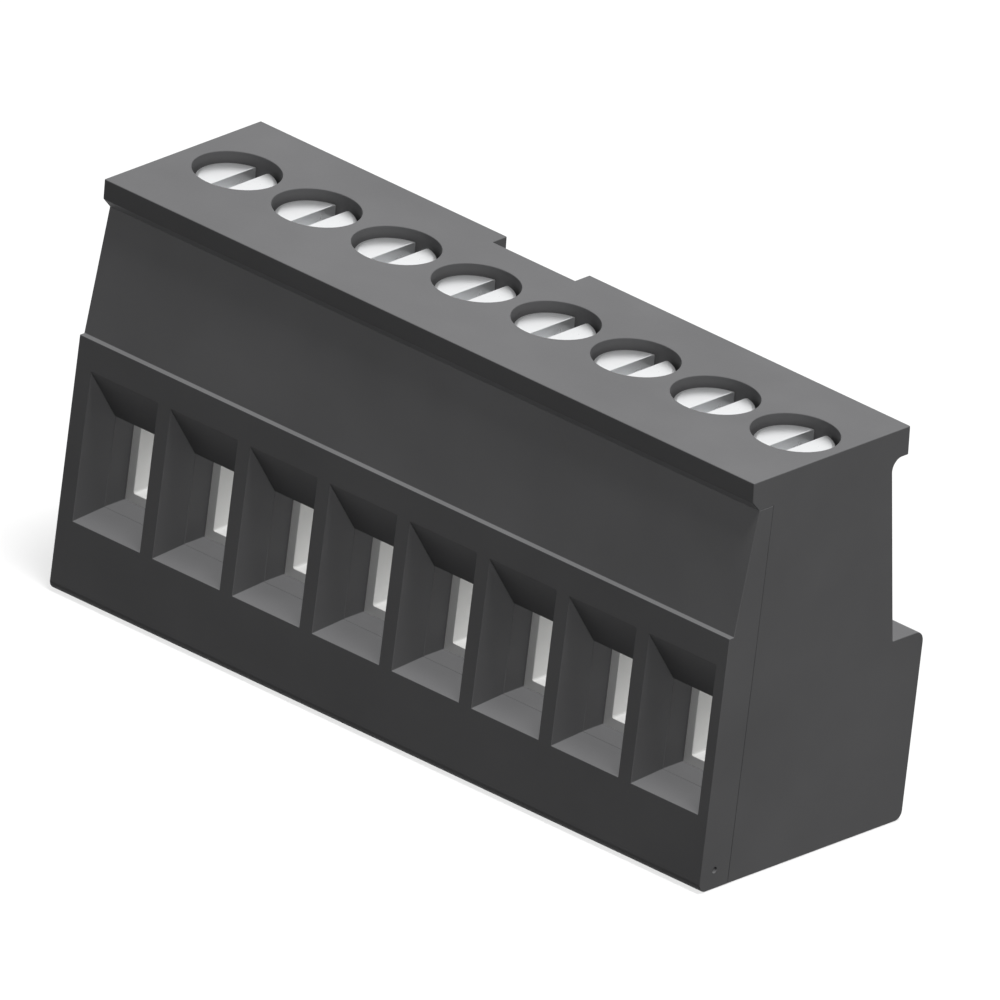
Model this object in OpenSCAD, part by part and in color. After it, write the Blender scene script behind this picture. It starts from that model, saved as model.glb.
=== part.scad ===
// Pluggable screw terminal block with rising clamping cages.
// One moulded housing and a front cover with a wire funnel for each pole. Every pole has a slotted
// screw, a cage that climbs it, and a contact that takes a header pin from below.
// X runs along the row, the wire side faces -Y, the screw heads look up +Z, and z = 0 is the underside.

/* [Row of poles] */
// Number of poles
poles = 8; // [1:1:8]
// Distance between neighbouring poles
pitch = 5.08; // [5:0.01:7.62]
// Left end of the block to the first pole
left_margin = 3.08; // [2.6:0.01:5]
// Last pole to the right end of the block
right_margin = 2.76; // [2.6:0.01:5]

/* [Housing] */
// Height from the underside to the top face
height = 21.44; // [20.5:0.01:26]
// Depth from the wire face to the rear of the foot
depth = 14.67; // [14:0.01:18]
// Depth of the top face
top_depth = 11.3; // [10.8:0.01:12]
// Height of the front lip's upright face
lip_height = 1.05; // [0.6:0.01:1.6]
// Size of the slope under the front lip
lip_slope = 0.57; // [0.3:0.01:0.8]
// How far the front lip stands back from the wire face
lip_setback = 0.42; // [0.2:0.01:0.8]
// Thickness of the rear flange
flange_t = 1.53; // [1:0.01:2]
// Draft of the rear flange and of the front lip, in degrees
edge_draft = 4; // [0:0.5:6]
// Fillet under the rear flange
flange_fillet = 0.6; // [0.2:0.05:0.8]
// Lean of the rear wall, in degrees from upright
rear_lean = 9.8; // [5:0.1:10.5]
// How far the foot stands out behind the rear wall
foot_step = 2.28; // [1.5:0.01:2.6]
// Height of the foot's top
foot_height = 9.94; // [9.8:0.01:11.5]
// Rounding along the foot's top edge
foot_top_round = 0.6; // [0.1:0.05:0.8]
// Rounding along the rear bottom edge
rear_round = 0.45; // [0.1:0.05:1]
// Floor of the clamping chambers above the underside
chamber_floor = 4.19; // [3:0.01:4.6]

/* [Pry notch] */
// Width of the notch in the rear flange
notch_w = 5.25; // [3:0.05:8]
// Depth of the notch
notch_depth = 1.05; // [0.5:0.01:1.1]
// Pole that the notch is centred behind
notch_pole = 4; // [1:1:8]

/* [Screw hole] */
// Diameter of the hole over the screw head
head_hole_d = 4.37; // [4.1:0.01:4.6]
// Clearance around the screw's thread below its head
shank_clear = 0.15; // [0.05:0.01:0.3]
// Gap between the head and its seat while the screw stands on the contact bar
seat_gap = 0.05; // [0.02:0.01:0.15]

/* [Front cover] */
// Thickness of the front cover at the wire openings
cover_t = 2.09; // [1.8:0.01:2.6]
// Height of the ledge above the wire openings
ledge_z = 13.39; // [12.6:0.01:16]
// Width of the ledge
ledge_w = 0.31; // [0.1:0.01:0.6]
// Lean of the upper front face, in degrees from upright
upper_lean = 6.8; // [3:0.1:7.5]
// Rounding along the bottom front edge
front_round = 1; // [0.3:0.05:1.5]
// Diameter of the gate mark on the right end, level with the rounding's centre
gate_d = 0.3; // [0.2:0.05:0.6]
// Depth of the gate mark
gate_depth = 0.15; // [0.05:0.05:0.3]

/* [Wire funnel] */
// Width of the wire opening at the face
mouth_w = 4.26; // [4.1:0.01:4.6]
// Height of the wire opening's lower edge
mouth_bottom = 3.94; // [2.6:0.01:4.1]
// Height of the wire opening's upper edge
mouth_top = 11.79; // [10:0.01:12.2]
// Height of the funnel's inner upper edge
throat_top = 8.94; // [8.8:0.01:9.5]

/* [Clamping cage] */
// Wire face to the cage's front
cage_setback = 3.48; // [3.3:0.01:3.6]
// Outer width of the cage
cage_w = 3.86; // [3.7:0.01:4]
// Length of the cage along the wire
cage_len = 6.08; // [5:0.01:6.2]
// Thickness of the cage's side walls
cage_wall = 0.5; // [0.4:0.01:0.6]
// Thickness of the cage's floor
cage_floor = 0.5; // [0.4:0.01:0.7]
// Thickness of the cage's tapped head
cage_head = 2.3; // [1.8:0.05:2.6]
// Inside radius of the cage's lower corners
cage_round = 0.1; // [0.05:0.05:0.45]
// Sliding clearance between the cage and its chamber
cage_clear = 0.05; // [0.03:0.01:0.1]
// Height that the cage climbs from open to clamped
cage_travel = 3.45; // [2.5:0.05:3.5]

/* [Clamp screw] */
// Thread diameter
screw_d = 3; // [2.5:0.1:3.2]
// Head diameter
head_d = 3.96; // [3.6:0.01:4]
// Head height
head_h = 1.9; // [1.2:0.05:2]
// Width of the shallow chamfer around the head's top
head_chamfer_w = 0.19; // [0.1:0.01:0.4]
// Drop of the head's chamfer at its rim
head_chamfer_drop = 0.05; // [0.02:0.01:0.4]
// Depth of the head's top below the top face
head_sink = 0.49; // [0.3:0.01:1]
// Width of the screwdriver slot
slot_w = 0.8; // [0.6:0.05:1]
// Depth of the screwdriver slot
slot_depth = 0.75; // [0.5:0.05:1]
// Running clearance of the thread in the cage
thread_clear = 0.05; // [0.02:0.01:0.08]
// Distance that the cage's tapped hole runs on, between its side walls, below the highest screw tip
tap_run_out = 0.4; // [0.2:0.05:0.6]
// Chamfer at the screw's tip
tip_chamfer = 0.35; // [0.1:0.05:0.6]

/* [Contact] */
// Thickness of the contact strip
strip_t = 0.6; // [0.4:0.05:0.7]
// Width of the contact bar
bar_w = 2.6; // [2:0.05:2.7]
// Height of the bar's upper face
bar_top = 9.04; // [9:0.01:9.2]
// Wire face to the header pin's axis
pin_setback = 12.1; // [11.9:0.01:12.3]
// Width of the square header pin
pin_w = 1; // [0.8:0.05:1.1]
// How far each spring leg bows in towards the pin
leg_bow = 0.6; // [0.3:0.05:0.7]
// Width of the spring legs
leg_w = 1.8; // [1.2:0.05:2.2]
// Width of the grip grooves under the bar
groove_w = 0.3; // [0.1:0.05:0.4]
// Clearance between the contact and its cavity
contact_clear = 0.1; // [0.05:0.01:0.2]
// Clearance around the header pin in its entry
pin_clear = 0.3; // [0.1:0.05:0.4]
// Lead-in chamfer at the pin entry
pin_lead = 0.6; // [0.3:0.05:1]

/* [Hidden] */
$fn = 64;
over = 1; // how far a cutter runs past the face that it opens

length = left_margin + (poles - 1) * pitch + right_margin;

// planes across the depth, from the wire face to the foot's rear
y_face = -depth / 2;
y_rear = depth / 2;
y_lip = y_face + lip_setback;
y_seam = y_face + cover_t;
y_flange = y_lip + top_depth;
y_pin = y_face + pin_setback;

// heights
z_lip = height - lip_height;
z_under_lip = z_lip - lip_slope;
z_flange = height - flange_t;
z_head = height - head_sink;
z_seat = z_head - head_h - seat_gap;
z_tip = bar_top + seat_gap;
z_cage = chamber_floor + cage_clear;
z_cage_inside = bar_top + 2 * seat_gap;
z_cage_top = z_cage_inside + cage_head;
chamber_top = z_cage_top + cage_travel + 3 * cage_clear;

// chamber, cage and contact
chamber_w = cage_w + 2 * cage_clear;
y_cage = y_face + cage_setback;
y_screw = y_cage + cage_len / 2;
y_chamber_end = y_cage + cage_len + 2 * cage_clear;
pin_gap = pin_w - 0.1;                      // the legs grip the pin with 0.1 mm of spring
bar_bottom = bar_top - strip_t;
leg_foot = chamber_floor + seat_gap;
leg_len = bar_bottom - leg_foot;
leg_radius = (leg_len * leg_len / 4 + leg_bow * leg_bow) / (2 * leg_bow);
leg_half = pin_gap / 2 + leg_bow + strip_t; // pin axis to the outside of a leg's root
grooves = 3;

// Place of pole i, counted from 1, along the row.
function pole_x(i) = -length / 2 + left_margin + (i - 1) * pitch;
// Where the leaning rear wall stands at height z.
function rear_wall_y(z) = y_rear - foot_step - (z - foot_height) * tan(rear_lean);
// Where the leaning upper front face stands at height z.
function upper_face_y(z) = y_face + ledge_w + (z - ledge_z) * tan(upper_lean);

// Carries a flat (Y, Z) outline along X, centred on x = 0.
module along_row(w) {
    translate([-w / 2, 0, 0]) rotate([90, 0, 90]) linear_extrude(w) children();
}

// Carries a flat (X, Z) outline along Y, from y = from to y = to.
module along_wire(from, to) {
    translate([0, to, 0]) rotate([90, 0, 0]) linear_extrude(to - from) children();
}

// What a rounding of radius r takes off a square corner at p. dir points from the corner into the body.
module corner_off(p, r, dir) {
    difference() {
        translate([dir[0] > 0 ? p[0] - over : p[0] - r, dir[1] > 0 ? p[1] - over : p[1] - r])
            square(r + over);
        translate([p[0] + dir[0] * r, p[1] + dir[1] * r]) circle(r);
    }
}

// Section of the housing, with the lip in front, the flange at the top rear and the foot below it.
module housing_section() {
    draft = tan(edge_draft);
    z_fillet = z_flange - flange_fillet;
    y_fillet = rear_wall_y(z_fillet) + flange_fillet / cos(rear_lean);
    difference() {
        polygon([
            [y_seam, 0],
            [y_rear, 0],
            [y_rear, foot_height],
            [rear_wall_y(foot_height), foot_height],
            // the corner under the flange is filled to the centre of its fillet
            [y_fillet - flange_fillet * cos(rear_lean), z_fillet - flange_fillet * sin(rear_lean)],
            [y_fillet, z_fillet],
            [y_fillet, z_flange],
            [y_flange + flange_t * draft, z_flange],
            [y_flange, height],
            [y_lip, height],
            [y_lip + lip_height * draft, z_lip],
            [y_lip + lip_height * draft + lip_slope, z_under_lip],
            [y_seam, z_under_lip]
        ]);
        translate([y_fillet, z_fillet]) circle(flange_fillet);
        corner_off([y_rear, 0], rear_round, [-1, 1]);
        corner_off([y_rear, foot_height], foot_top_round, [-1, -1]);
    }
}

// The chamber that the cage climbs in, with the contact's cavity behind it. Both open at the seam.
module chamber() {
    cavity_w = bar_w + 2 * contact_clear;
    cavity_end = y_pin + leg_half + contact_clear;
    translate([-chamber_w / 2, y_seam - over, chamber_floor])
        cube([chamber_w, y_chamber_end - y_seam + over, chamber_top - chamber_floor]);
    translate([-cavity_w / 2, y_chamber_end - over, chamber_floor])
        cube([cavity_w, cavity_end - y_chamber_end + over, bar_top + contact_clear - chamber_floor]);
}

// The stepped hole that the screw stands in.
module screw_hole() {
    translate([0, y_screw, z_seat]) cylinder(d = head_hole_d, h = height - z_seat + over);
    translate([0, y_screw, chamber_top - over])
        cylinder(d = screw_d + 2 * shank_clear, h = z_seat - chamber_top + 2 * over);
}

// A square hole up to the chamber floor, flared at the underside.
module pin_entry() {
    half = pin_w / 2 + pin_clear;
    intersection() {
        along_row(4 * half) translate([y_pin, 0]) entry_outline(half);
        translate([0, y_pin, 0]) along_wire(-2 * half, 2 * half) entry_outline(half);
    }
}

module entry_outline(half) {
    polygon([
        [-half, chamber_floor + over],
        [-half, pin_lead],
        [-half - pin_lead - over, -over],
        [half + pin_lead + over, -over],
        [half, pin_lead],
        [half, chamber_floor + over]
    ]);
}

// Moulded housing.
module housing() {
    notch_y = y_flange - notch_depth;
    color("#4b4d4f") difference() {
        along_row(length) housing_section();
        for (i = [1:poles]) translate([pole_x(i), 0, 0]) {
            chamber();
            screw_hole();
            pin_entry();
        }
        translate([pole_x(min(notch_pole, poles)) - notch_w / 2, notch_y, z_flange - flange_fillet])
            cube([notch_w, y_rear - notch_y, flange_t + flange_fillet + over]);
    }
}

// Section of the front cover, without its funnels.
module cover_section() {
    difference() {
        polygon([
            [y_face, 0],
            [y_seam, 0],
            [y_seam, z_under_lip],
            [upper_face_y(z_under_lip), z_under_lip],
            [upper_face_y(ledge_z), ledge_z],
            [y_face, ledge_z]
        ]);
        corner_off([y_face, 0], front_round, [1, 1]);
    }
}

// One wire funnel: tapered to both sides in plan, with a long slope down from its roof.
module funnel() {
    intersection() {
        along_row(mouth_w + over) polygon([
            [y_face, mouth_bottom],
            [y_face, mouth_top],
            [y_seam, throat_top],
            [y_seam + over, throat_top],
            [y_seam + over, chamber_floor],
            [y_seam, chamber_floor]
        ]);
        linear_extrude(mouth_top) polygon([
            [-mouth_w / 2, y_face],
            [-chamber_w / 2, y_seam],
            [-chamber_w / 2, y_seam + over],
            [chamber_w / 2, y_seam + over],
            [chamber_w / 2, y_seam],
            [mouth_w / 2, y_face]
        ]);
    }
}

// Front cover that closes the chambers and guides the wires. The gate mark is where it was moulded from.
module front_cover() {
    color("#434546") difference() {
        along_row(length) cover_section();
        for (i = [1:poles]) translate([pole_x(i), 0, 0]) funnel();
        translate([length / 2 - gate_depth, y_face + front_round, front_round])
            rotate([0, 90, 0]) cylinder(d = gate_d, h = gate_depth + over);
    }
}

// Section of the cage, cut from a drawn bar: thin walls and floor, and a thick head for the thread.
module cage_section() {
    inner_w = cage_w - 2 * cage_wall;
    z_inner = z_cage + cage_floor;
    difference() {
        translate([-cage_w / 2, z_cage]) square([cage_w, z_cage_top - z_cage]);
        difference() {
            translate([-inner_w / 2, z_inner]) square([inner_w, z_cage_inside - z_inner]);
            for (side = [-1, 1]) difference() {
                translate([side * (inner_w - cage_round) / 2, z_inner + cage_round / 2])
                    square(cage_round, center = true);
                translate([side * (inner_w / 2 - cage_round), z_inner + cage_round]) circle(cage_round);
            }
        }
    }
}

// Clamping cage of pole i, fully open. The tapped hole is wider than the window, so it runs on down
// between the side walls, as far as the screw's tip reaches when the cage is up.
module clamp_cage(i) {
    color("gainsboro") translate([pole_x(i), 0, 0]) difference() {
        along_wire(y_cage, y_cage + cage_len) cage_section();
        translate([0, y_screw, z_cage_inside - cage_travel - tap_run_out])
            cylinder(r = screw_d / 2 + thread_clear, h = cage_travel + tap_run_out + cage_head + over);
    }
}

// Slotted clamp screw of pole i, standing on the contact bar.
module screw(i) {
    z_under_head = z_head - head_h;
    color("silver") translate([pole_x(i), y_screw, 0]) {
        difference() {
            union() {
                translate([0, 0, z_under_head]) cylinder(d = head_d, h = head_h - head_chamfer_drop);
                translate([0, 0, z_head - head_chamfer_drop])
                    cylinder(d1 = head_d, d2 = head_d - 2 * head_chamfer_w, h = head_chamfer_drop);
            }
            translate([-slot_w / 2, -head_d, z_head - slot_depth]) cube([slot_w, 2 * head_d, slot_depth + over]);
        }
        translate([0, 0, z_tip + tip_chamfer]) cylinder(d = screw_d, h = z_under_head - z_tip - tip_chamfer);
        translate([0, 0, z_tip])
            cylinder(d1 = screw_d - 2 * tip_chamfer, d2 = screw_d, h = tip_chamfer);
    }
}

// Section of one spring leg, bowed towards y = 0 from its root under the bar.
module leg_section() {
    z_mid = bar_bottom - leg_len / 2;
    centre_y = pin_gap / 2 + leg_radius + strip_t;
    intersection() {
        translate([centre_y, z_mid]) difference() {
            circle(leg_radius + strip_t, $fn = 128);
            circle(leg_radius, $fn = 128);
        }
        translate([0, leg_foot]) square([leg_half + over, leg_len + strip_t / 2]);
    }
}

// Contact of pole i: a bar through the cage, and a pair of spring legs over the pin entry.
module contact(i) {
    bar_front = y_cage + cage_clear;
    color("#c9a86a") translate([pole_x(i), 0, 0]) {
        difference() {
            translate([-bar_w / 2, bar_front, bar_bottom])
                cube([bar_w, y_pin + leg_half - bar_front, strip_t]);
            for (k = [1:grooves]) translate([0, bar_front + k * cage_len / (grooves + 1), bar_bottom])
                along_row(bar_w + over) rotate(45) square(groove_w, center = true);
        }
        for (side = [0, 1]) translate([0, y_pin, 0]) mirror([0, side, 0])
            along_row(leg_w) leg_section();
    }
}

housing();
front_cover();
for (i = [1:poles]) {
    screw(i);
    clamp_cage(i);
    contact(i);
}
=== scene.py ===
"""Looks of a pluggable screw terminal block: mouldings, clamp screws, cages and contacts.

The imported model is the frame: every size and place comes from it, or is named here in millimetres. Each
sub-assembly is a class that builds its meshes and dresses them, and each finish is a small class that makes
one material.
"""

from __future__ import annotations

import logging
import math
from dataclasses import dataclass, field
from enum import Enum
from itertools import product
from typing import Any, Sequence

import bmesh
import bpy
from mathutils import Matrix, Vector


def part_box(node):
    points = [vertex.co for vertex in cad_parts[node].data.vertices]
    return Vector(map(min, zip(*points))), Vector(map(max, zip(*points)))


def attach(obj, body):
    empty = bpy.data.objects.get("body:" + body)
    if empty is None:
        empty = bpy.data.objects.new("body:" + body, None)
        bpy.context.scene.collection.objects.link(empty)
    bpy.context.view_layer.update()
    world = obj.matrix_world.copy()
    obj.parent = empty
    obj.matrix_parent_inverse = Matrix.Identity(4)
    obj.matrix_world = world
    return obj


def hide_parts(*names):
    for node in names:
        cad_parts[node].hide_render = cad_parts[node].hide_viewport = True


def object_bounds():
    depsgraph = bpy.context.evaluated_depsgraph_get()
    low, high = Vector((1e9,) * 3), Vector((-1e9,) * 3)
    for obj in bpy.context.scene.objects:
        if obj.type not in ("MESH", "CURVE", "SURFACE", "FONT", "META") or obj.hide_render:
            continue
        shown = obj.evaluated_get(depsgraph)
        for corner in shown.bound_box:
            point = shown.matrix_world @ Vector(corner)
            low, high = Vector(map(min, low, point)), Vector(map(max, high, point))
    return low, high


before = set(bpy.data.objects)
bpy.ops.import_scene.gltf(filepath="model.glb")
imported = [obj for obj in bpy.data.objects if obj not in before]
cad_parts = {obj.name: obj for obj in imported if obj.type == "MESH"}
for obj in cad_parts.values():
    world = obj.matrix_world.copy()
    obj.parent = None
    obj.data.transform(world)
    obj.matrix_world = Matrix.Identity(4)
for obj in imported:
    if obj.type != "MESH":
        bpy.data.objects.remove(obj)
CAD_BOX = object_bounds()

LOG = logging.getLogger("terminal_block")
MM = 0.001
POLES = sum(name.startswith("screw_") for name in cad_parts)
LOCAL = "local_mm"  # vertex attribute: a point's place from its piece's own axis, in millimetres
MERGE = 1e-4 * MM  # points closer than this are one point
TINY = 1e-3 * MM  # two planes closer than this are one plane
FLAT_DEG = 0.5  # faces that turn by less than this are one flat face


# ---------------------------------------------------------------- helpers


def linear(colour: str) -> tuple[float, float, float, float]:
    """Turn an sRGB hex colour into the linear colour that a shader reads.

    Args:
        colour: Six hex digits after a hash, such as "#5a5c5e".

    Returns:
        Red, green, blue and alpha.
    """
    parts = [int(colour[i : i + 2], 16) / 255 for i in (1, 3, 5)]
    low = [c / 12.92 if c <= 0.04045 else ((c + 0.055) / 1.055) ** 2.4 for c in parts]
    return (low[0], low[1], low[2], 1.0)


def add_node(
    tree: bpy.types.NodeTree,
    kind: str,
    settings: dict[str | int, Any] | None = None,
    links: dict[str | int, bpy.types.NodeSocket] | None = None,
) -> bpy.types.Node:
    """Add a node with its settings and its incoming links.

    Args:
        tree: The node tree that gets the node.
        kind: Blender's name for the node type.
        settings: Properties of the node, or inputs by name or index, with their values.
        links: Inputs by name or index, with the sockets that feed them.

    Returns:
        The new node.
    """
    node = tree.nodes.new(kind)
    for key, value in (settings or {}).items():
        if isinstance(key, str) and hasattr(node, key):
            setattr(node, key, value)
        else:
            node.inputs[key].default_value = value
    for key, socket in (links or {}).items():
        tree.links.new(socket, node.inputs[key])
    return node


def merged_copy(node: str) -> bmesh.types.BMesh:
    """Copy a CAD node's loose triangles into one closed mesh of flat faces.

    Args:
        node: Name of the CAD node.

    Returns:
        The merged mesh, in the shared frame.
    """
    bm = bmesh.new()
    bm.from_mesh(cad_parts[node].data)
    bmesh.ops.remove_doubles(bm, verts=bm.verts, dist=MERGE)
    bmesh.ops.dissolve_limit(bm, angle_limit=math.radians(FLAT_DEG), verts=bm.verts, edges=bm.edges)
    return bm


def seen_directly(tree: bpy.types.NodeTree) -> bpy.types.NodeSocket:
    """Tell what the camera and glossy surfaces see from what only lights the block.

    Args:
        tree: The node tree that asks.

    Returns:
        A socket that is 1 for camera and glossy rays, and 0 for all others.
    """
    path = add_node(tree, "ShaderNodeLightPath")
    seen = add_node(
        tree,
        "ShaderNodeMath",
        {"operation": "MAXIMUM"},
        {0: path.outputs["Is Camera Ray"], 1: path.outputs["Is Glossy Ray"]},
    )
    return seen.outputs["Value"]


def bevel_edges(bm: bmesh.types.BMesh, edges: list[bmesh.types.BMEdge], radius: float, segments: int) -> None:
    """Round the edges that are given.

    Args:
        bm: The mesh that holds them.
        edges: The edges to round.
        radius: Width of the rounding, in millimetres.
        segments: Number of steps across the rounding.
    """
    bmesh.ops.bevel(
        bm,
        geom=edges,
        offset=radius * MM,
        offset_type="OFFSET",
        affect="EDGES",
        segments=segments,
        profile=0.5,
        material=-1,
        clamp_overlap=True,
    )


def cut_plane(
    bm: bmesh.types.BMesh, point: Sequence[float], normal: Sequence[float], clear_outer: bool = False
) -> None:
    """Cut the whole mesh along a plane.

    Args:
        bm: The mesh to cut.
        point: A point on the plane, in metres.
        normal: The plane's normal.
        clear_outer: Whether what lies on the normal's side goes.
    """
    bmesh.ops.bisect_plane(
        bm,
        geom=bm.verts[:] + bm.edges[:] + bm.faces[:],
        dist=MERGE,
        plane_co=point,
        plane_no=normal,
        clear_outer=clear_outer,
    )


def round_edges(
    bm: bmesh.types.BMesh, radius: float, sharper_than: float = 35, segments: int = 2, below: float = math.inf
) -> None:
    """Round every edge that turns by more than an angle.

    Args:
        bm: The mesh to round.
        radius: Width of the rounding, in millimetres.
        sharper_than: The least angle between two faces that is rounded, in degrees.
        segments: Number of steps across the rounding.
        below: Height, in metres, that a rounded edge reaches below.
    """
    limit = math.radians(sharper_than)
    edges = [
        e
        for e in bm.edges
        if e.is_manifold and e.calc_face_angle() > limit and min(v.co.z for v in e.verts) < below
    ]
    bevel_edges(bm, edges, radius, segments)


def finish_piece(
    name: str,
    bm: bmesh.types.BMesh,
    body: str,
    material: bpy.types.Material,
    nodes: list[str],
    crease_deg: float = 40,
) -> bpy.types.Object:
    """Turn a mesh into a piece that stands for CAD nodes and rides on their body.

    Args:
        name: Name of the piece.
        bm: Its mesh in the shared frame, which is freed.
        body: The CAD body that it rides on.
        material: The material of every face.
        nodes: The CAD nodes that the piece stands for.
        crease_deg: Least turn between two faces that keeps a crisp edge.

    Returns:
        The new object, at the origin.
    """
    mesh = bpy.data.meshes.new(name)
    bm.to_mesh(mesh)
    bm.free()
    mesh.shade_smooth()
    mesh.set_sharp_from_angle(angle=math.radians(crease_deg))
    mesh.materials.append(material)
    piece = bpy.data.objects.new(name, mesh)
    bpy.context.scene.collection.objects.link(piece)
    normals = piece.modifiers.new("even_normals", "WEIGHTED_NORMAL")
    normals.keep_sharp = True
    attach(piece, body)
    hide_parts(*nodes)
    LOG.info("%s: %d faces, rides on %s", name, len(mesh.polygons), body)
    return piece


def axis_of(node: str) -> Vector:
    """Give the middle of a CAD node's box, on its underside.

    Args:
        node: Name of the CAD node.

    Returns:
        The point, in the shared frame.
    """
    low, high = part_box(node)
    return Vector(((low.x + high.x) / 2, (low.y + high.y) / 2, low.z))


# ---------------------------------------------------------------- finishes


class ToolMark(Enum):
    """How a metal surface was made, which sets the direction of its fine lines."""

    TURNED = "rings round the axis, from a lathe"
    DRAWN = "lines along the bar, from a drawing die"
    ROLLED = "a faint even grain, from a rolling mill"


@dataclass(frozen=True)
class MouldedPolyamide:
    """Dark grey polyamide from a spark-eroded mould: dull, with a fine grain and no clear reflections."""

    name: str = "moulded_polyamide"
    colour: str = "#616162"
    grain_mm: float = 0.14
    grain_height_mm: float = 0.006
    grain_strength: float = 0.35
    cloud_mm: float = 6.0
    cloud_dark: float = 0.93
    cloud_light: float = 1.06
    cloud_ends: tuple[float, float] = (0.3, 0.7)  # noise values that give the darkest and lightest tone
    roughness: float = 0.55
    smoother: float = 0.05
    rougher: float = 0.07
    specular: float = 0.1

    def material(self) -> bpy.types.Material:
        """Make the material.

        Returns:
            A material whose colour clouds faintly and whose grain comes from bump.
        """
        made = bpy.data.materials.new(self.name)
        made.use_nodes = True
        tree = made.node_tree
        shader = tree.nodes["Principled BSDF"]
        place = add_node(tree, "ShaderNodeTexCoord")
        cloud = add_node(
            tree,
            "ShaderNodeTexNoise",
            {"Scale": 1 / (self.cloud_mm * MM), "Detail": 3.0},
            {"Vector": place.outputs["Object"]},
        )
        base = linear(self.colour)
        tone = add_node(tree, "ShaderNodeValToRGB", links={"Fac": cloud.outputs["Fac"]})
        ends = zip(tone.color_ramp.elements, self.cloud_ends, (self.cloud_dark, self.cloud_light))
        for element, position, share in ends:
            element.position = position
            element.color = tuple(c * share for c in base[:3]) + (1.0,)
        grain = add_node(
            tree,
            "ShaderNodeTexNoise",
            {"Scale": 1 / (self.grain_mm * MM), "Detail": 2.0, "Roughness": 0.6},
            {"Vector": place.outputs["Object"]},
        )
        bump = add_node(
            tree,
            "ShaderNodeBump",
            {"Strength": self.grain_strength, "Distance": self.grain_height_mm * MM},
            {"Height": grain.outputs["Fac"]},
        )
        gloss = add_node(
            tree,
            "ShaderNodeMapRange",
            {"To Min": self.roughness - self.smoother, "To Max": self.roughness + self.rougher},
            {"Value": grain.outputs["Fac"]},
        )
        shader.inputs["IOR"].default_value = 1.5
        shader.inputs["Specular IOR Level"].default_value = self.specular
        tree.links.new(tone.outputs["Color"], shader.inputs["Base Color"])
        tree.links.new(gloss.outputs["Result"], shader.inputs["Roughness"])
        tree.links.new(bump.outputs["Normal"], shader.inputs["Normal"])
        return made


@dataclass(frozen=True)
class PlatedMetal:
    """A plated metal surface with the fine lines that its making left."""

    name: str
    colour: str
    mark: ToolMark
    line_mm: float
    line_height_mm: float
    roughness: float
    metallic: float
    line_strength: float = 0.4
    along_drawn: float = 0.04  # how fast the grain changes along a drawn bar, against across it
    along_rolled: float = 0.6  # the same, for rolled strip
    blotches_per_mm: float = 1.3
    smoother: float = 0.06
    rougher: float = 0.1

    def material(self) -> bpy.types.Material:
        """Make the material.

        Returns:
            A metal whose lines follow its tool mark, with slightly uneven gloss.
        """
        made = bpy.data.materials.new(self.name)
        made.use_nodes = True
        tree = made.node_tree
        shader = tree.nodes["Principled BSDF"]
        shader.inputs["Metallic"].default_value = self.metallic
        shader.inputs["Base Color"].default_value = linear(self.colour)
        place = add_node(tree, "ShaderNodeAttribute", {"attribute_name": LOCAL})
        blotch = add_node(
            tree,
            "ShaderNodeTexNoise",
            {"Scale": self.blotches_per_mm, "Detail": 4.0},
            {"Vector": place.outputs["Vector"]},
        )
        gloss = add_node(
            tree,
            "ShaderNodeMapRange",
            {"To Min": self.roughness - self.smoother, "To Max": self.roughness + self.rougher},
            {"Value": blotch.outputs["Fac"]},
        )
        tree.links.new(gloss.outputs["Result"], shader.inputs["Roughness"])
        bump = add_node(
            tree,
            "ShaderNodeBump",
            {"Strength": self.line_strength, "Distance": self.line_height_mm * MM},
            {"Height": self.lines(tree, place.outputs["Vector"])},
        )
        tree.links.new(bump.outputs["Normal"], shader.inputs["Normal"])
        return made

    def lines(self, tree: bpy.types.NodeTree, place: bpy.types.NodeSocket) -> bpy.types.NodeSocket:
        """Make the height of the tool marks.

        Args:
            tree: The material's node tree.
            place: The point's place from the piece's axis, in millimetres.

        Returns:
            A socket that holds the height, from 0 to 1.
        """
        if self.mark is ToolMark.TURNED:
            flatten = {"operation": "MULTIPLY", 1: (1.0, 1.0, 0.0)}
            flat = add_node(tree, "ShaderNodeVectorMath", flatten, {0: place})
            measure = {"operation": "LENGTH"}
            radius = add_node(tree, "ShaderNodeVectorMath", measure, {0: flat.outputs["Vector"]})
            rings = add_node(
                tree,
                "ShaderNodeTexNoise",
                {"noise_dimensions": "1D", "Scale": 1 / self.line_mm, "Detail": 2.0},
                {"W": radius.outputs["Value"]},
            )
            return rings.outputs["Fac"]
        along = self.along_drawn if self.mark is ToolMark.DRAWN else self.along_rolled
        stretch = {"operation": "MULTIPLY", 1: (1.0, along, 1.0)}
        drawn = add_node(tree, "ShaderNodeVectorMath", stretch, {0: place})
        grain = add_node(
            tree,
            "ShaderNodeTexNoise",
            {"Scale": 1 / self.line_mm, "Detail": 2.0},
            {"Vector": drawn.outputs["Vector"]},
        )
        return grain.outputs["Fac"]


# Zinc plate on turned steel: bright, faintly blue, with fine rings from the lathe on the head.
ZINC_STEEL = PlatedMetal(
    name="zinc_plated_steel",
    colour="#ecedee",
    mark=ToolMark.TURNED,
    line_mm=0.07,
    line_height_mm=0.003,
    roughness=0.28,
    metallic=0.87,
)
# Nickel plate on a drawn brass section: bright and slightly warm, with lines along the bar.
NICKEL_BRASS = PlatedMetal(
    name="nickel_plated_brass",
    colour="#e4e4e3",
    mark=ToolMark.DRAWN,
    line_mm=0.08,
    line_height_mm=0.003,
    roughness=0.4,
    metallic=0.35,
)
# Matt tin on stamped bronze: a soft white metal with an even grain.
TINNED_BRONZE = PlatedMetal(
    name="tin_plated_bronze",
    colour="#dededb",
    mark=ToolMark.ROLLED,
    line_mm=0.1,
    line_height_mm=0.003,
    roughness=0.42,
    metallic=0.7,
)


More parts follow.
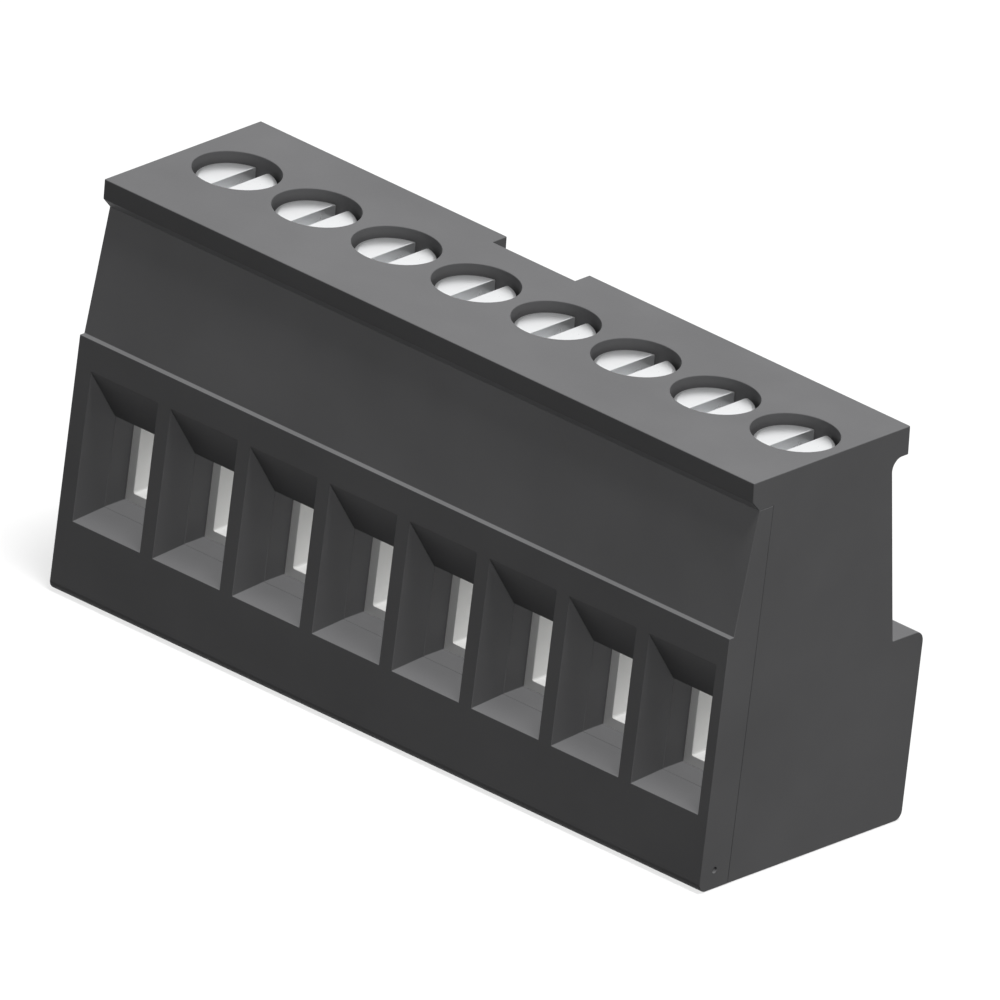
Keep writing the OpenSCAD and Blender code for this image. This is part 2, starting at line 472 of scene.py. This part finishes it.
def mark_local(bm: bmesh.types.BMesh, axis: Vector) -> None:
    """Store each point's place from a piece's own axis, for patterns that follow the piece.

    Args:
        bm: The mesh, in the shared frame.
        axis: A point on the piece's axis.
    """
    layer = bm.verts.layers.float_vector.new(LOCAL)
    for vert in bm.verts:
        vert[layer] = (vert.co - axis) / MM


# ---------------------------------------------------------------- the block


@dataclass
class Mouldings:
    """The two moulded parts: the housing and the front cover, with soft edges as they leave the mould."""

    edge_mm: float = 0.06
    cover_edge_mm: float = 0.04
    near_mm: float = 0.01
    solid_round_mm: float = 1.0
    foot_round_mm: float = 0.5
    plastic: MouldedPolyamide = field(default_factory=MouldedPolyamide)

    def build(self) -> list[bpy.types.Object]:
        """Build both mouldings from their CAD solids.

        Returns:
            The housing and the front cover.
        """
        material = self.plastic.material()
        housing = merged_copy("housing")
        round_edges(housing, self.edge_mm, segments=3)
        cover = merged_copy("front_cover")
        self.tighten_front_edge(cover)
        # The cover's top edges stay sharp, because the lip sits on them.
        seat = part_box("front_cover")[1].z - self.near_mm * MM
        round_edges(cover, self.cover_edge_mm, segments=3, below=seat)
        return [
            finish_piece("housing_moulding", housing, "block", material, ["housing"]),
            finish_piece("front_cover_moulding", cover, "block", material, ["front_cover"]),
        ]

    def tighten_front_edge(self, bm: bmesh.types.BMesh) -> None:
        """Draw the cover's lower front edge in from the solid's rounding to the finer one of the mould.

        Args:
            bm: The front cover's mesh, in the shared frame.
        """
        wide, tight = self.solid_round_mm * MM, self.foot_round_mm * MM
        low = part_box("front_cover")[0]
        for vert in bm.verts:
            across, up = wide - (vert.co.y - low.y), wide - (vert.co.z - low.z)
            off_round = abs(math.hypot(across, up) - wide)
            if across > -TINY and up > -TINY and off_round < self.near_mm * MM:
                vert.co.y = low.y + tight * (1 - across / wide)
                vert.co.z = low.z + tight * (1 - up / wide)


@dataclass
class ClampScrew:
    """A slotted clamp screw with a turned head and a real thread. All its sizes are in millimetres."""

    index: int
    head_h: float = 1.9
    chamfer_w: float = 0.19
    chamfer_drop: float = 0.05
    under_chamfer: float = 0.08
    soft: float = 0.015
    slot_w: float = 0.8
    slot_depth: float = 0.75
    slot_soft: float = 0.035
    slot_turn_deg: float = 50  # the slot's edges that turn by more than this are softened
    thread_d: float = 3.0
    thread_depth: float = 0.27
    lead: float = 0.5
    flank_rise: float = 0.16  # height of each sloping flank of the thread
    crest_w: float = 0.06  # height of the thread's flat crest, and of the flat below its first flank
    tip_chamfer: float = 0.35
    neck: float = 0.3
    collar: float = 0.05  # plain length that joins the thread to the head
    crease_deg: float = 13  # keeps the chamfer's and the thread's edges crisp
    head_steps: int = 72
    thread_steps: int = 32

    def __post_init__(self) -> None:
        """Take the head's diameter, the length and the axis from the screw's CAD box."""
        self.node = f"screw_{self.index}"
        low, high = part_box(self.node)
        self.axis = axis_of(self.node)
        self.head_d = (high.x - low.x) / MM
        self.length = (high.z - low.z) / MM
        self.under = self.length - self.head_h
        self.crest = self.thread_d / 2
        self.root = self.crest - self.thread_depth

    def build(self, material: bpy.types.Material) -> bpy.types.Object:
        """Build the screw at its place.

        Args:
            material: The screw's material.

        Returns:
            The screw piece.
        """
        bm = bmesh.new()
        self.turn_head(bm)
        self.cut_slot(bm)
        self.add_thread(bm)
        bmesh.ops.recalc_face_normals(bm, faces=bm.faces)
        mark_local(bm, Vector((0, 0, 0)))
        bmesh.ops.transform(bm, matrix=Matrix.Translation(self.axis), verts=bm.verts)
        name = f"{self.node}_slotted"
        return finish_piece(name, bm, self.node, material, [self.node], self.crease_deg)

    def turn_head(self, bm: bmesh.types.BMesh) -> None:
        """Spin the head's outline round the axis, open where the thread joins it.

        Args:
            bm: The mesh that gets the head, with the screw's tip at the origin.
        """
        top, r, soft = self.length, self.head_d / 2, self.soft
        slope = self.chamfer_drop / self.chamfer_w
        flat, rim = r - self.chamfer_w, top - self.chamfer_drop
        outline = [
            (0, top),
            (flat - soft, top),
            (flat + soft, top - soft * slope),
            (r - 2 * soft, rim + 2 * soft * slope),
            (r, rim - 2 * soft),
            (r, self.under + self.under_chamfer),
            (r - self.under_chamfer, self.under),
            (self.root, self.under),
        ]
        self.spin(bm, outline)

    def spin(self, bm: bmesh.types.BMesh, outline: list[tuple[float, float]], turns: int = 0) -> None:
        """Spin an outline of radii and heights round the axis, into a full turn or up a helix.

        Args:
            bm: The mesh that gets the surface.
            outline: Radius and height of each point, in millimetres.
            turns: Number of turns of the helix, or 0 for one closed turn.
        """
        steps, rise = (self.thread_steps, self.lead / self.thread_steps) if turns else (self.head_steps, 0)
        verts = [bm.verts.new((x * MM, 0, z * MM)) for x, z in outline]
        edges = [bm.edges.new(pair) for pair in zip(verts, verts[1:])]
        bmesh.ops.spin(
            bm,
            geom=verts + edges,
            cent=(0, 0, 0),
            axis=(0, 0, 1),
            dvec=(0, 0, rise * MM),
            angle=2 * math.pi * max(turns, 1),
            steps=steps * max(turns, 1),
            use_merge=not turns,
            use_duplicate=False,
        )
        bmesh.ops.remove_doubles(bm, verts=bm.verts, dist=TINY if turns else MERGE)

    def cut_slot(self, bm: bmesh.types.BMesh) -> None:
        """Cut the screwdriver slot across the head, along Y, and soften its edges.

        Args:
            bm: The mesh that holds the closed top of the head.
        """
        half = self.slot_w / 2 * MM
        floor = (self.length - self.slot_depth) * MM
        cut_plane(bm, (half, 0, 0), (1, 0, 0))
        cut_plane(bm, (-half, 0, 0), (1, 0, 0))
        cut_plane(bm, (0, 0, floor), (0, 0, 1))
        middles = [(face, face.calc_center_median()) for face in bm.faces]
        inside = [face for face, at in middles if abs(at.x) < half - TINY and at.z > floor + TINY]
        bmesh.ops.delete(bm, geom=inside, context="FACES")
        rim = [e for e in bm.edges if e.is_boundary and min(v.co.z for v in e.verts) > floor - TINY]
        for wall_x in (-half, half):
            wall = [e for e in rim if all(abs(v.co.x - wall_x) < TINY for v in e.verts)]
            ends = [v for v in {v for e in wall for v in e.verts} if abs(v.co.z - floor) < TINY]
            foot = bm.edges.new(ends)
            bmesh.ops.contextual_create(bm, geom=[foot, *wall])
        low = [e for e in bm.edges if e.is_boundary and all(abs(v.co.z - floor) < TINY for v in e.verts)]
        bmesh.ops.contextual_create(bm, geom=low)
        bmesh.ops.recalc_face_normals(bm, faces=bm.faces)
        edges = [
            e
            for e in bm.edges
            if e.is_manifold
            and e.calc_face_angle() > math.radians(self.slot_turn_deg)
            and all(abs(abs(v.co.x) - half) < TINY for v in e.verts)
        ]
        bevel_edges(bm, edges, self.slot_soft, segments=2)

    def roll_thread(self) -> bmesh.types.BMesh:
        """Sweep one pitch of thread up a helix and trim it at the tip and the head.

        Returns:
            The thread's surface, closed at the tip and open at the head.
        """
        flat, flank, crest_end = self.crest_w, self.flank_rise, 2 * self.crest_w + self.flank_rise
        outline = [
            (self.root, 0),
            (self.root, flat),
            (self.crest, flat + flank),
            (self.crest, crest_end),
            (self.root, crest_end + flank),
            (self.root, self.lead),
        ]
        thread = bmesh.new()
        turns = math.ceil(self.under / self.lead) + 2
        self.spin(thread, [(x, z - self.lead) for x, z in outline], turns)
        cut_plane(thread, (0, 0, 0), (0, 0, -1), clear_outer=True)
        cut_plane(thread, (0, 0, (self.under - self.collar) * MM), (0, 0, 1), clear_outer=True)
        for vert in thread.verts:
            reach = Vector((vert.co.x, vert.co.y, 0))
            height = vert.co.z / MM
            most = self.crest - self.tip_chamfer + min(height, self.tip_chamfer)
            if height > self.under - self.neck:
                most = min(most, self.root)
            if reach.length > most * MM:
                vert.co.x *= most * MM / reach.length
                vert.co.y *= most * MM / reach.length
        tip = [e for e in thread.edges if e.is_boundary and all(abs(v.co.z) < TINY for v in e.verts)]
        bmesh.ops.contextual_create(thread, geom=tip)
        return thread

    def add_thread(self, bm: bmesh.types.BMesh) -> None:
        """Join the thread to the underside of the head.

        Args:
            bm: The mesh that holds the head.
        """
        thread = self.roll_thread()
        part = bpy.data.meshes.new("thread")
        thread.to_mesh(part)
        thread.free()
        bm.from_mesh(part)
        bpy.data.meshes.remove(part)
        open_rims = [e for e in bm.edges if e.is_boundary]
        bmesh.ops.bridge_loops(bm, edges=open_rims)


@dataclass
class ClampCage:
    """A nickel-plated cage, cut from a drawn section, with broken edges."""

    index: int
    edge_mm: float = 0.04

    def build(self, material: bpy.types.Material) -> bpy.types.Object:
        """Build the cage from its CAD solid.

        Args:
            material: The cage's material.

        Returns:
            The cage piece.
        """
        node = f"clamp_cage_{self.index}"
        bm = merged_copy(node)
        round_edges(bm, self.edge_mm)
        mark_local(bm, axis_of(node))
        return finish_piece(f"{node}_plated", bm, f"cage_{self.index}", material, [node])


@dataclass
class Contact:
    """A stamped contact: the bar that the wire is clamped against, and its spring legs."""

    index: int
    edge_mm: float = 0.03

    def build(self, material: bpy.types.Material) -> bpy.types.Object:
        """Build the contact from its CAD solid.

        Args:
            material: The contact's material.

        Returns:
            The contact piece.
        """
        node = f"contact_{self.index}"
        bm = merged_copy(node)
        round_edges(bm, self.edge_mm)
        mark_local(bm, axis_of(node))
        return finish_piece(f"{node}_stamped", bm, "block", material, [node])


# ---------------------------------------------------------------- the studio


@dataclass
class Studio:
    """A pale floor, soft light from above and a parallel camera, tilted as a drawing of the block is."""

    view_from: Vector = field(default_factory=lambda: Vector((0.567, -0.713, 0.412)))
    light_from: Vector = field(default_factory=lambda: Vector((0.23, -0.09, 0.965)))
    roll_deg: float = 7.0
    frame_mm: float = 47.5
    camera_mm: float = 300.0
    camera_near_mm: float = 10.0
    camera_far_mm: float = 5000.0
    lamp_mm: float = 500.0
    lamp_softness_deg: float = 14.0
    overhead: float = 1.2
    fill: float = 3.5
    floor_mm: float = 1500.0
    floor_drop_mm: float = 0.05
    floor_colour: str = "#d8d8d8"
    sky_colour: str = "#5e5e5e"

    def build(self) -> None:
        """Set up the floor, the lamps, the sky and the camera."""
        self.make_floor()
        self.make_sky()
        self.make_lamp("overhead", self.overhead)
        self.make_lamp("fill", self.fill, casts_shadow=False)
        self.make_camera()
        bpy.context.scene.view_settings.view_transform = "Standard"

    def make_floor(self) -> None:
        """Lay a pale floor that shows from above only and lets the sky's light through."""
        bm = bmesh.new()
        place = Matrix.Translation((0, 0, -self.floor_drop_mm * MM))
        bmesh.ops.create_grid(bm, x_segments=4, y_segments=4, size=self.floor_mm * MM, matrix=place)
        mesh = bpy.data.meshes.new("floor")
        bm.to_mesh(mesh)
        bm.free()
        floor = bpy.data.objects.new("floor", mesh)
        bpy.context.scene.collection.objects.link(floor)
        made = bpy.data.materials.new("floor_card")
        made.use_nodes = True
        tree = made.node_tree
        tree.nodes.clear()
        side = add_node(tree, "ShaderNodeNewGeometry")
        shown = add_node(
            tree,
            "ShaderNodeMath",
            {"operation": "SUBTRACT", "use_clamp": True},
            {0: seen_directly(tree), 1: side.outputs["Backfacing"]},
        )
        clear = add_node(tree, "ShaderNodeBsdfTransparent")
        pale = add_node(tree, "ShaderNodeBsdfDiffuse", {"Color": linear(self.floor_colour)})
        mixed = {0: shown.outputs["Value"], 1: clear.outputs[0], 2: pale.outputs[0]}
        card = add_node(tree, "ShaderNodeMixShader", links=mixed)
        add_node(tree, "ShaderNodeOutputMaterial", links={"Surface": card.outputs[0]})
        mesh.materials.append(made)

    def make_sky(self) -> None:
        """Make the world: white where the camera and glossy surfaces see it, and a dimmer grey as light."""
        world = bpy.data.worlds.new("sky")
        bpy.context.scene.world = world
        world.use_nodes = True
        tree = world.node_tree
        tree.nodes.clear()
        light = add_node(tree, "ShaderNodeBackground", {"Color": linear(self.sky_colour), "Strength": 1.0})
        white = add_node(tree, "ShaderNodeBackground", {"Color": linear("#ffffff"), "Strength": 1.0})
        mixed = {0: seen_directly(tree), 1: light.outputs[0], 2: white.outputs[0]}
        both = add_node(tree, "ShaderNodeMixShader", links=mixed)
        add_node(tree, "ShaderNodeOutputWorld", links={"Surface": both.outputs[0]})

    def make_lamp(self, name: str, strength: float, casts_shadow: bool = True) -> None:
        """Hang a soft lamp far off.

        Args:
            name: Name of the lamp.
            strength: Light on a surface that faces the lamp, in watts a square metre.
            casts_shadow: Whether the block's own walls stop its light, which a fill passes.
        """
        lamp = bpy.data.lights.new(name, "SUN")
        lamp.energy = strength
        lamp.angle = math.radians(self.lamp_softness_deg)
        lamp.use_shadow = casts_shadow
        thing = bpy.data.objects.new(name, lamp)
        thing.rotation_euler = self.light_from.to_track_quat("Z", "Y").to_euler()
        thing.location = self.light_from.normalized() * self.lamp_mm * MM
        thing.visible_glossy = False  # bright metal mirrors the white room, and not the lamps
        bpy.context.scene.collection.objects.link(thing)

    def make_camera(self) -> None:
        """Aim a parallel camera at the middle of the block, as its view shows it."""
        back = self.view_from.normalized()
        side = Vector((0, 0, 1)).cross(back).normalized()
        up = back.cross(side)
        roll = math.radians(self.roll_deg)
        right = side * math.cos(roll) + up * math.sin(roll)
        top = up * math.cos(roll) - side * math.sin(roll)
        low, high = CAD_BOX
        ends = [(low.x, high.x), (low.y, high.y), (low.z, high.z)]
        corners = [Vector(corner) for corner in product(*ends)]
        middle = (low + high) / 2
        for across in (right, top):
            spans = [(c - middle).dot(across) for c in corners]
            middle = middle + across * (min(spans) + max(spans)) / 2
        camera = bpy.data.objects.new("camera", bpy.data.cameras.new("camera"))
        camera.data.type = "ORTHO"
        camera.data.ortho_scale = self.frame_mm * MM
        camera.data.clip_start = self.camera_near_mm * MM
        camera.data.clip_end = self.camera_far_mm * MM
        turn = Matrix((right, top, back)).transposed().to_4x4()
        camera.matrix_world = Matrix.Translation(middle + back * self.camera_mm * MM) @ turn
        bpy.context.scene.collection.objects.link(camera)
        bpy.context.scene.camera = camera


def main() -> None:
    """Build the studio and the block."""
    logging.basicConfig(level=logging.INFO, format="%(name)s: %(message)s")
    Studio().build()
    Mouldings().build()
    zinc, nickel, tin = ZINC_STEEL.material(), NICKEL_BRASS.material(), TINNED_BRONZE.material()
    for pole in range(1, POLES + 1):
        ClampScrew(pole).build(zinc)
        ClampCage(pole).build(nickel)
        Contact(pole).build(tin)
    bpy.context.view_layer.update()


if __name__ == "__main__":
    main()
